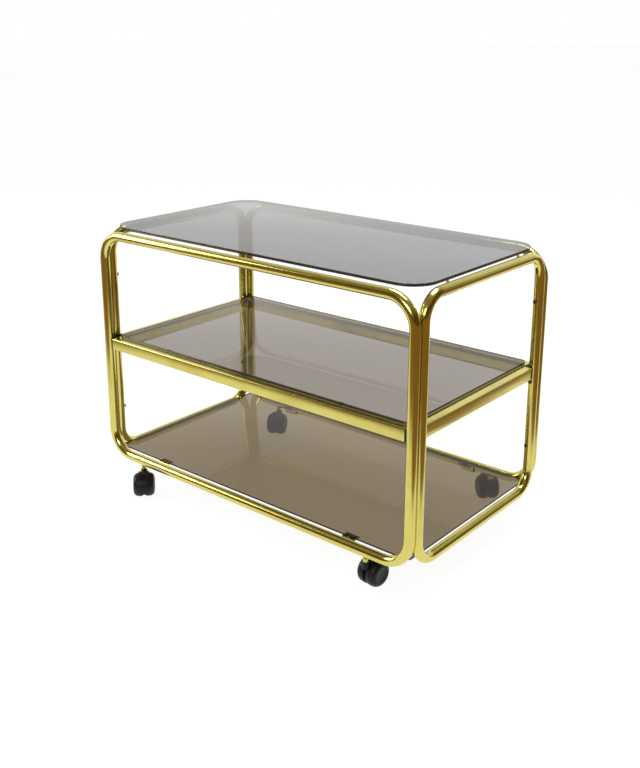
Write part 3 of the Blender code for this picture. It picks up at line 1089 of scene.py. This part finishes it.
@dataclass
class Repeats:
    """Small turned pieces that repeat: corner screws and pads.

    Attributes:
        sides: Segments round each piece.
        screw: Sizes of the corner screws.
        pad: Sizes of the pads under the base and shelf plates.
        top_pad: Sizes and places of the top plate's clear pads.
    """

    sides: int = 28
    screw: ButtonScrew = ButtonScrew()
    pad: RingedPad = RingedPad()
    top_pad: TopPad = TopPad()

    def tree(self) -> bpy.types.NodeTree:
        """Geometry tree that puts a shape on every point, turned to the point's "facing".

        Returns:
            The tree.
        """
        graph, given = geometry_graph("fasteners_on_points", [
            ("Shape", "NodeSocketObject"), ("Scale", "NodeSocketFloat"), ("Finish", "NodeSocketMaterial")])
        shape = graph.node("GeometryNodeObjectInfo", {"transform_space": "ORIGINAL"},
                           {"Object": graph.pick(given, "Shape")}, "Geometry")
        facing = graph.node("GeometryNodeInputNamedAttribute", {"data_type": "FLOAT_VECTOR"},
                            {"Name": "facing"})
        turn = graph.node("FunctionNodeAlignRotationToVector", {"axis": "Z"}, {"Vector": facing})
        points = graph.node("GeometryNodeInstanceOnPoints", {}, {
            "Points": given, "Instance": shape, "Rotation": turn, "Scale": graph.pick(given, "Scale")})
        return end_geometry(graph, points, graph.pick(given, "Finish"))

    @staticmethod
    def points(name: str, places: Sequence[Vector], facings: Sequence[Vector]) -> bpy.types.Mesh:
        """Makes loose points that carry a "facing" vector.

        Args:
            name: The mesh's name.
            places: Where the points go.
            facings: Their vectors.

        Returns:
            The mesh.
        """
        mesh = bpy.data.meshes.new(name)
        mesh.from_pydata([tuple(place) for place in places], [], [])
        values = mesh.attributes.new("facing", "FLOAT_VECTOR", "POINT")
        values.data.foreach_set("vector", [part for facing in facings for part in facing])
        return mesh

    def scatter(self, name: str, outline: Outline, nodes: Sequence[str], places: Sequence[Vector],
                facings: Sequence[Vector], finish: bpy.types.Material,
                tree: bpy.types.NodeTree) -> None:
        """Makes one piece of many equal turned shapes.

        Args:
            name: The piece's name.
            outline: Half section as (radius, height).
            nodes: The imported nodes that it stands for.
            places: Where the shapes go.
            facings: Where their axes point.
            finish: Their material.
            tree: The tree from tree().
        """
        pattern = finish_mesh(f"{name}_pattern", turned(outline, self.sides, Matrix()), finish)
        piece = grown(name, self.points(name, places, facings), tree,
                      {"Shape": pattern, "Scale": 1.0, "Finish": finish})
        bpy.data.objects.remove(pattern, do_unlink=True)
        settle(piece, "frame", nodes)

    def build(self, hoops: Hoops, base: Plate, finishes: Finishes) -> None:
        """Makes the screws and the pads.

        Args:
            hoops: The hoops under the top plate.
            base: The base plate.
            finishes: The trolley's finishes.
        """
        tree = self.tree()
        self._screws(finishes, tree)
        self._pads(base, finishes, tree)
        self._top_pads(hoops, finishes, tree)

    def _screws(self, finishes: Finishes, tree: bpy.types.NodeTree) -> None:
        """Twelve button-head screws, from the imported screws' boxes.

        Args:
            finishes: The trolley's finishes.
            tree: The tree from tree().
        """
        nodes, places, facings = [], [], []
        for corner in Corner:
            for level in ("lower", "middle", "upper"):
                node = f"screw_{corner.label}_{level}"
                box = Box.of(node)
                inward = -corner.signs[1]
                face = box.high.y if inward > 0 else box.low.y
                nodes.append(node)
                places.append(Vector((box.centre.x, face, box.centre.z)))
                facings.append(Vector((0, inward, 0)))
        self.scatter("corner_screws", self.screw.section(), nodes, places, facings, finishes.dark,
                     tree)

    def _pads(self, base: Plate, finishes: Finishes, tree: bpy.types.NodeTree) -> None:
        """Ringed pads under the base and shelf plates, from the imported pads' boxes.

        Args:
            base: The base plate.
            finishes: The trolley's finishes.
            tree: The tree from tree().
        """
        nodes, places = [], []
        for tier in ("base", "shelf"):
            for corner in Corner:
                node = f"{tier}_pad_{corner.label}"
                box = Box.of(node)
                foot = base.underside - GAP - self.pad.thick if tier == "base" else box.low.z
                nodes.append(node)
                places.append(Vector((box.centre.x, box.centre.y, foot)))
        up = [Vector((0, 0, 1))] * len(places)
        self.scatter("plate_pads", self.pad.section(), nodes, places, up, finishes.rubber, tree)

    def _top_pads(self, hoops: Hoops, finishes: Finishes, tree: bpy.types.NodeTree) -> None:
        """Clear pads between the top plate and the side hoops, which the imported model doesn't have.

        Args:
            hoops: The hoops under the plate.
            finishes: The trolley's finishes.
            tree: The tree from tree().
        """
        x = hoops.length / 2 + hoops.side_step - self.top_pad.inset
        foot = hoops.top + hoops.radius + self.top_pad.foot(hoops.radius)
        places = [Vector((sx * x, sy * self.top_pad.y, foot)) for sx in (-1, 1) for sy in (-1, 1)]
        up = [Vector((0, 0, 1))] * len(places)
        self.scatter("top_plate_pads", self.top_pad.section(hoops.radius), [], places, up, finishes.rubber,
                     tree)


@dataclass(frozen=True)
class Wheel:
    """One domed wheel, measured out from the middle between a caster's two wheels.

    Attributes:
        radius: Radius over the tread.
        inner: Distance of its inner face.
        tread: Distance where the tread ends and the dome starts.
        outer: Distance of its outermost face.
        bore: Radius of its blind bore for the axle.
        bore_end: Distance of the bore's end.
        soft: Radius of the tread's inner edge.
        groove: Depth of the shoulder groove.
        groove_at: Where it starts, is full and ends, inward from where the dome starts.
        dome_inset: How far the dome starts inside the tread's radius.
        dome: Radial size of the dome's curve.
        dome_angles: Where the curve has points, in degrees.
        cap: Points of the hub cap, as (radius, depth under the outermost face).
        sides: Segments round the wheel.
    """

    radius: float = 0.025
    inner: float = 0.0036
    tread: float = 0.0115
    outer: float = 0.0222
    bore: float = 0.0028
    bore_end: float = 0.0193
    soft: float = 0.0008
    groove: float = 0.0004
    groove_at: tuple[float, float, float] = (0.0012, 0.0009, 0.0004)
    dome_inset: float = 0.0001
    dome: float = 0.010
    dome_angles: range = range(8, 91, 6)
    cap: tuple[tuple[float, float], ...] = (
        (0.0135, 0.0), (0.0130, 0.0004), (0.0125, 0.0005), (0.0115, 0.0005), (0.0108, 0.0009),
        (0.0040, 0.0007), (0.0, 0.0006))
    sides: int = 64

    def section(self) -> Outline:
        """Half section: bore, tread, shoulder groove, domed side and hub cap.

        Returns:
            Points as (radius, distance from the caster's middle).
        """
        soft, shoulder = self.soft, self.radius - self.dome_inset
        start, full, end = (self.tread - inward for inward in self.groove_at)
        points = [(0, self.bore_end), (self.bore, self.bore_end), (self.bore, self.inner),
                  (self.radius - soft, self.inner)]
        points += arc((self.radius - soft, self.inner + soft), soft, -90, 0, steps=4)[1:]
        points += [(self.radius, start), (self.radius - self.groove, full), (self.radius - self.groove, end),
                   (shoulder, self.tread)]
        points += oval((shoulder - self.dome, self.tread), self.dome, self.outer - self.tread,
                       self.dome_angles)
        return points + [(radius, self.outer - depth) for radius, depth in self.cap]


@dataclass(frozen=True)
class Hood:
    """The caster's moulding: mudguard, web, hub and stem boss. The axle is its Z axis and Y points up.

    Attributes:
        trail: Distance of the axle from the swivel axis.
        axle_height: Height of the axle over the floor.
        half_width: Half the mudguard's width.
        outside: Outer radius of the mudguard.
        inside: Its inner radius.
        span: Where it starts and ends, in degrees over the horizontal.
        soft: Radius of the mudguard's edges.
        web: Half the web's thickness.
        web_inset: How far the web's rim lies inside the mudguard's outer face.
        web_trim: How far it stops short of the mudguard's ends, in degrees.
        web_notch: The web's two corners beside the hub.
        hub: Radius of the hub.
        proud: How far the hub stands out of the web, so that no two faces share a plane.
        boss: Radius of the stem boss.
        boss_low: Height of its underside over the floor.
        boss_high: Height of its upper face.
        boss_soft: Radius of its edges.
        bore: Radius of its bore for the stem.
        bore_depth: Depth of the bore.
        mouth: How far the bore's mouth is widened, and how deep.
        steps: Segments along the mudguard.
        hub_sides: Segments round the hub.
        boss_sides: Segments round the boss.
        sharp: Angle in degrees over which its edges are sharp.
    """

    trail: float = 0.020
    axle_height: float = 0.025
    half_width: float = 0.0112
    outside: float = 0.0280
    inside: float = 0.0257
    span: tuple[float, float] = (-28.0, 128.0)
    soft: float = 0.0009
    web: float = 0.0032
    web_inset: float = 0.0010
    web_trim: float = 1.0
    web_notch: tuple[tuple[float, float], ...] = ((-0.006, 0.004), (0.006, -0.007))
    hub: float = 0.0085
    proud: float = 0.0001
    boss: float = 0.0068
    boss_low: float = 0.0380
    boss_high: float = 0.0520
    boss_soft: float = 0.0008
    bore: float = 0.0043
    bore_depth: float = 0.0055
    mouth: tuple[float, float] = (0.0002, 0.0006)
    steps: int = 40
    hub_sides: int = 40
    boss_sides: int = 48
    sharp: float = 40.0

    def moulding(self, label: str, place: Matrix, finish: bpy.types.Material) -> bpy.types.Object:
        """Makes the hood as one closed shape.

        Args:
            label: The caster's corner.
            place: Where the axle's middle goes.
            finish: Its material.

        Returns:
            The piece.
        """
        blank = finish_mesh(f"{label}_hood_moulding", self._guard(), finish, self.sharp)
        helpers = []
        for number, shape in enumerate((self._web(), self._hub(), self._boss())):
            helper = finish_mesh(f"{label}_hood_tool_{number}", shape, finish)
            join = blank.modifiers.new(helper.name, "BOOLEAN")
            join.solver = "EXACT"
            join.operation = "UNION"
            join.object = helper
            helpers.append(helper)
        mesh = plain_mesh(blank)
        for helper in helpers:
            bpy.data.objects.remove(helper, do_unlink=True)
        blank.data = mesh
        mesh.transform(place)
        mesh.shade_smooth()
        mesh.set_sharp_from_angle(angle=math.radians(self.sharp))
        return blank

    def _guard(self) -> bmesh.types.BMesh:
        """The mudguard.

        Returns:
            A rounded band swept round the axle.
        """
        section = rounded_loop(self.outside - self.inside, 2 * self.half_width, self.soft, steps=4)
        mean = (self.outside + self.inside) / 2
        first, last = self.span
        rings = []
        for step in range(self.steps + 1):
            angle = math.radians(first + (last - first) * step / self.steps)
            rings.append([Vector(((mean + outward) * math.cos(angle), (mean + outward) * math.sin(angle), z))
                          for outward, z in section])
        shape = bmesh.new()
        skin(shape, rings, closed=False, capped=True)
        return shape

    def _web(self) -> bmesh.types.BMesh:
        """The web between the wheels.

        Returns:
            A flat plate under the mudguard.
        """
        first, last = self.span
        rim = arc((0, 0), self.outside - self.web_inset, first + self.web_trim, last - self.web_trim,
                  self.steps)
        outline = rim + list(self.web_notch)
        shape = bmesh.new()
        rings = [[Vector((x, y, z)) for x, y in outline] for z in (-self.web, self.web)]
        skin(shape, rings, closed=False, capped=True)
        return shape

    def _hub(self) -> bmesh.types.BMesh:
        """The hub disc round the axle."""
        half = self.web + self.proud
        return turned([(0, -half), (self.hub, -half), (self.hub, half), (0, half)], self.hub_sides, Matrix())

    def _boss(self) -> bmesh.types.BMesh:
        """The boss that takes the stem, beside the wheels.

        Returns:
            A bored round boss.
        """
        low, high, soft = self.boss_low - self.axle_height, self.boss_high - self.axle_height, self.boss_soft
        section = [(0, low), (self.boss - soft, low)]
        section += arc((self.boss - soft, low + soft), soft, -90, 0, steps=3)[1:]
        section += arc((self.boss - soft, high - soft), soft, 0, 90, steps=3)
        section += [(self.bore + self.mouth[0], high), (self.bore, high - self.mouth[1])]
        section += [(self.bore, high - self.bore_depth), (0, high - self.bore_depth)]
        upright = Matrix.Translation((-self.trail, 0, 0)) @ Matrix.Rotation(math.radians(-90), 4, "X")
        return turned(section, self.boss_sides, upright)


@dataclass(frozen=True)
class Stem:
    """A caster's plated stem with its collar. Heights are over the floor.

    Attributes:
        pin: Radius of the stem.
        collar: Radius of the collar.
        collar_low: Height of the collar's underside.
        collar_high: Height of its upper face, under the lower tube.
        soft: Size of its bevels.
        groove: Height of the groove round the collar over its underside.
        groove_depth: Depth of the groove, and half its width.
        sides: Segments round the stem.
    """

    pin: float = 0.0040
    collar: float = 0.0054
    collar_low: float = 0.0523
    collar_high: float = 0.0607
    soft: float = 0.0002
    groove: float = 0.0016
    groove_depth: float = 0.0003
    sides: int = 40

    def section(self, low: float, high: float) -> Outline:
        """Half section.

        Args:
            low: Height of the stem's lower end.
            high: Height of its upper end.

        Returns:
            Points as (radius, height).
        """
        pin, collar, soft, cut = self.pin, self.collar, self.soft, self.groove_depth
        base, tube = self.collar_low, self.collar_high
        middle = base + self.groove
        return [(0, low), (pin - soft, low), (pin, low + soft), (pin, base), (collar - soft, base),
                (collar, base + soft), (collar, middle - cut), (collar - cut, middle), (collar, middle + cut),
                (collar, tube - soft), (collar - soft, tube), (pin, tube), (pin, high), (0, high)]


@dataclass
class Caster:
    """One swivelling twin-wheel caster.

    Attributes:
        corner: Where it stands.
        wheel: Sizes of its two wheels.
        hood: Sizes of its hood.
        stem: Sizes of its stem.
    """

    corner: Corner
    wheel: Wheel = Wheel()
    hood: Hood = Hood()
    stem: Stem = Stem()

    def _axle_frame(self) -> Matrix:
        """Place of the axle's middle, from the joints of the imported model.

        Returns:
            X along the trail, Y up and Z along the axle.
        """
        pivot, centre = (self._joint_place(joint) for joint in ("swivel", "wheel_left_spin"))
        trail = Vector((centre.x - pivot.x, centre.y - pivot.y, 0)).normalized()
        up = Vector((0, 0, 1))
        turn = Matrix((trail, up, trail.cross(up))).transposed().to_4x4()
        return Matrix.Translation(centre) @ turn

    def _joint_place(self, name: str) -> Vector:
        """Place of one of the caster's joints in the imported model."""
        wanted = f"{self.corner.label}_{name}"
        return Vector(next(joint["pos_m"] for joint in frame["joints"] if joint["name"] == wanted))

    def build(self, finishes: Finishes) -> None:
        """Makes the wheels, the hood and the stem.

        Args:
            finishes: The trolley's finishes.
        """
        label = self.corner.label
        place = self._axle_frame()
        for wheel in ("wheel_left", "wheel_right"):
            node = f"{label}_{wheel}"
            on_plus_side = (place.inverted() @ Box.of(node).centre).z > 0
            turn = Matrix() if on_plus_side else Matrix.Rotation(math.pi, 4, "X")
            shape = turned(self.wheel.section(), self.wheel.sides, place @ turn)
            settle(finish_mesh(f"{node}_shell", shape, finishes.wheel, sharp=40.0), node, [node])
        hood = self.hood.moulding(label, place, finishes.plastic)
        settle(hood, f"{label}_caster", [f"{label}_hood"])
        box = Box.of(f"{label}_stem")
        upright = Matrix.Translation((box.centre.x, box.centre.y, 0))
        shape = turned(self.stem.section(box.low.z, box.high.z), self.stem.sides, upright)
        stem = finish_mesh(f"{label}_stem_turned", shape, finishes.rail, sharp=50.0)
        settle(stem, "frame", [f"{label}_stem"])


def dress_packed(finishes: Finishes) -> None:
    """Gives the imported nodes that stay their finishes: rail plugs and axles.

    Args:
        finishes: The trolley's finishes.
    """
    for name, node in frame["nodes"].items():
        if "_rail_plug_" in name:
            material = finishes.plastic
        elif name.endswith("_axle"):
            material = finishes.bright
        else:
            continue
        node.data.materials.clear()
        node.data.materials.append(material)
        LOG.info("%s keeps its packed shape", name)


# Studio ----------------------------------------------------------------------------------------------------


@dataclass(frozen=True)
class PaleFloor(Finish):
    """White paper that glows a little, so that it stays even to the edges."""

    def dress(self, graph: Graph) -> dict:
        """Nodes of the finish.

        Args:
            graph: The material's graph.

        Returns:
            Values and wires of the shader's sockets.
        """
        fibre = graph.noise(graph.object_space(), 60.0)
        return {"Base Color": (0.16, 0.16, 0.16, 1.0), "Roughness": 0.85 + fibre * 0.1,
                "Specular IOR Level": 0.0, "Emission Color": (1.0, 1.0, 1.0, 1.0), "Emission Strength": 0.93}


@dataclass(frozen=True)
class MirroredFloor(Finish):
    """White paper under the trolley on a brown floor, as the brass mirrors it.

    Attributes:
        paper: Colour of the paper.
        shaded: Its colour at the far left, a painted shade.
        wood: Dark and light colour of the floor's grain.
    """

    paper: Colour = (0.92, 0.92, 0.90)
    shaded: Colour = (0.36, 0.30, 0.19)
    wood: tuple[Colour, Colour] = ((0.10, 0.05, 0.015), (0.36, 0.21, 0.07))

    def dress(self, graph: Graph) -> dict:
        """Nodes of the finish.

        Args:
            graph: The material's graph.

        Returns:
            Values and wires of the shader's sockets.
        """
        place = graph.object_space()
        x = graph.node("ShaderNodeSeparateXYZ", {}, {0: place})
        y = graph.pick(x, 1)
        wobble = graph.noise(place, 3.0, 4.0, 0.6) * 0.55 - 0.20
        right = (x + wobble).fades(0.76, 0.94)
        front = (0.0 - y + wobble).fades(0.95, 1.20)
        wooden = graph.mix(graph.noise(graph.stretched(place, (2.0, 9.0, 1.0)), 1.0), *self.wood)
        outside = right + front - right * front
        # Painted shade: the paper darkens towards the far left.
        left = (0.0 - x).fades(0.85, 1.4) * 0.8
        colour = graph.mix(outside, graph.mix(left, self.paper, self.shaded), wooden)
        return {"Base Color": colour, "Roughness": 0.9, "Specular IOR Level": 0.0,
                "Emission Color": colour, "Emission Strength": 0.15}


@dataclass(frozen=True)
class PaleBackdrop(Finish):
    """Even pale light."""

    def dress(self, graph: Graph) -> dict:
        """Values of the shader's sockets; the graph gets no nodes."""
        return {"Base Color": (0.0, 0.0, 0.0, 1.0), "Specular IOR Level": 0.0,
                "Emission Color": (1.0, 1.0, 1.0, 1.0), "Emission Strength": 1.0}


@dataclass(frozen=True)
class SoftBox:
    """A rectangular soft light.

    Attributes:
        name: Its name.
        spot: Where it stands.
        size: Its width and height.
        power: Its power in watts.
        aim: Where it points.
    """

    name: str
    spot: tuple[float, float, float]
    size: tuple[float, float]
    power: float
    aim: tuple[float, float, float] = (0.0, 0.0, 0.3)

    def build(self) -> None:
        """Hangs the light."""
        data = bpy.data.lights.new(self.name, "AREA")
        data.shape = "RECTANGLE"
        data.size, data.size_y = self.size
        data.energy = self.power
        light = linked(self.name, data)
        light.location = self.spot
        light.rotation_euler = (Vector(self.aim) - Vector(self.spot)).to_track_quat("-Z", "Y").to_euler()
        light.visible_camera = False


@dataclass
class Studio:
    """Camera, soft lights, a pale floor and backdrop, and the room that the brass mirrors.

    Attributes:
        camera_spot: Where the camera stands.
        heading: Where it looks.
        up: Its upward direction.
        lens: Focal length in millimetres.
        sensor: Width of the sensor in millimetres.
        shift: Vertical shift of the frame.
        far: Distance of the floor's edges and the backdrop.
        sheet_depth: How far the mirrored floor lies under the pale one.
        boxes: The soft lights: over the trolley, at its front left and in front of it.
    """

    camera_spot: Vector = field(default_factory=lambda: Vector((1.25847, -1.50832, 0.99364)))
    heading: Vector = field(default_factory=lambda: Vector((-0.613126, 0.741779, -0.271736)))
    up: Vector = field(default_factory=lambda: Vector((-0.174821, 0.208045, 0.962369)))
    lens: float = 47.03
    sensor: float = 36.0
    shift: float = -0.1099
    far: float = 40.0
    sheet_depth: float = 0.0005
    boxes: tuple[SoftBox, ...] = (SoftBox("top_box", (0.1, 0.5, 2.6), (1.8, 0.8), 60.0),
                                  SoftBox("left_box", (-2.6, -1.6, 1.5), (1.2, 1.8), 45.0),
                                  SoftBox("front_box", (1.0, -2.8, 1.9), (1.4, 1.0), 30.0))

    def build(self) -> None:
        """Sets up the whole studio."""
        self._camera()
        self._world()
        self._floor()
        for box in self.boxes:
            box.build()
        bpy.context.scene.view_settings.view_transform = "Standard"

    def _camera(self) -> None:
        """The camera at the trolley's front right."""
        data = bpy.data.cameras.new("studio_camera")
        data.lens = self.lens
        data.sensor_width = self.sensor
        data.shift_y = self.shift
        camera = linked("studio_camera", data)
        right = self.heading.cross(self.up).normalized()
        up = right.cross(self.heading).normalized()
        turn = Matrix((right, up, -self.heading)).transposed().to_4x4()
        camera.matrix_world = Matrix.Translation(self.camera_spot) @ turn
        bpy.context.scene.camera = camera

    def _world(self) -> None:
        """A bright backdrop behind the trolley, and a dim warm room on the other sides."""
        world = bpy.data.worlds.new("studio_world")
        bpy.context.scene.world = world
        world.use_nodes = True
        graph = Graph(world.node_tree)
        direction = graph.node("ShaderNodeTexCoord", {}, {}, "Generated")
        away = Vector((self.heading.x, self.heading.y, 0)).normalized()
        facing = graph.node("ShaderNodeVectorMath", {"operation": "DOT_PRODUCT"},
                            {0: direction, 1: away}, "Value").fades(0.15, 0.60)
        height = graph.pick(graph.node("ShaderNodeSeparateXYZ", {}, {0: direction}), 2)
        ceiling = height.fades(0.35, 0.75)
        room = graph.mix(ceiling, (0.09, 0.055, 0.02), (0.26, 0.22, 0.15))
        sweep = graph.mix(ceiling, (1.05, 1.05, 1.05), (0.55, 0.53, 0.50))
        colour = graph.mix(facing, room, sweep)
        shine = graph.node("ShaderNodeBackground", {}, {"Color": colour, "Strength": 1.0})
        graph.node("ShaderNodeOutputWorld", {}, {"Surface": shine})

    @staticmethod
    def _hide_from(panel: bpy.types.Object, *rays: str) -> None:
        """Hides a stage panel from these kinds of rays."""
        for ray in rays:
            setattr(panel, f"visible_{ray}", False)

    def _floor(self) -> None:
        """The pale floor and backdrop, and what the brass sees of the floor round the trolley."""
        floor = self._sheet(PaleFloor("pale_floor"), 0.0)
        self._hide_from(floor, "glossy")
        mirrored = self._sheet(MirroredFloor("mirrored_floor"), -self.sheet_depth)
        self._hide_from(mirrored, "camera", "diffuse", "transmission", "shadow")
        backdrop = self._dome(PaleBackdrop("pale_backdrop"))
        self._hide_from(backdrop, "glossy", "diffuse", "shadow")

    def _sheet(self, finish: Finish, height: float) -> bpy.types.Object:
        """A square sheet of floor.

        Args:
            finish: Its finish, which also names it.
            height: Where it lies.

        Returns:
            The sheet.
        """
        far = self.far
        mesh = bpy.data.meshes.new(finish.name)
        mesh.from_pydata([(-far, -far, height), (far, -far, height), (far, far, height), (-far, far, height)],
                         [], [(0, 1, 2, 3)])
        mesh.materials.append(finish.material())
        sheet = linked(finish.name, mesh)
        return sheet

    def _dome(self, finish: Finish) -> bpy.types.Object:
        """A backdrop all round, seen only directly or through the glass.

        Args:
            finish: Its finish, which also names it.

        Returns:
            The dome.
        """
        shape = bmesh.new()
        rings = []
        pole, sunk = 0.01, 0.02
        for up in (0.0, 0.15, 0.35, 0.6, 0.85, 1.0):
            tilt = math.radians(90 * up)
            reach, height = self.far * math.cos(tilt) + pole, self.far * math.sin(tilt) - sunk
            rings.append([Vector((x, y, height)) for x, y in oval((0, 0), reach, reach, range(0, 360, 10))])
        skin(shape, rings, closed=False, capped=False)
        dome = finish_mesh(finish.name, shape, finish.material())
        return dome


def main() -> None:
    """Builds the looks, sub-assembly by sub-assembly."""
    logging.basicConfig(level=logging.INFO, format="%(name)s: %(message)s")
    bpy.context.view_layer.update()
    finishes = Finishes()
    hoops = Hoops()
    hoops.build(finishes)
    Brackets().build(hoops, finishes)
    ShelfRails().build(finishes)
    top = Plate("top_glass", 0.052, Slot.GREY_GLASS, passes=(0.85, 0.85, 0.86), cloud=(0.17, 0.17, 0.175),
                cover=0.62)
    shelf = Plate("shelf_glass", 0.014, Slot.BRONZE_GLASS, passes=(0.86, 0.83, 0.795),
                  cloud=(0.125, 0.105, 0.088), cover=0.45, thickness=0.004, sunk=0.0020)
    # Painted shade: the base plate is the shelf's bronze glass, with its haze and tint darkened for the shade
    # under the plates above.
    base = Plate("base_glass", 0.010, Slot.BRONZE_GLASS, passes=(0.76, 0.68, 0.55),
                 cloud=(0.04, 0.03, 0.02), cover=0.40, thickness=0.004, sunk=0.0057)
    for plate in (top, shelf, base):
        plate.build()
    Repeats().build(hoops, base, finishes)
    for corner in Corner:
        Caster(corner).build(finishes)
    dress_packed(finishes)
    Studio().build()


if __name__ == "__main__":
    main()
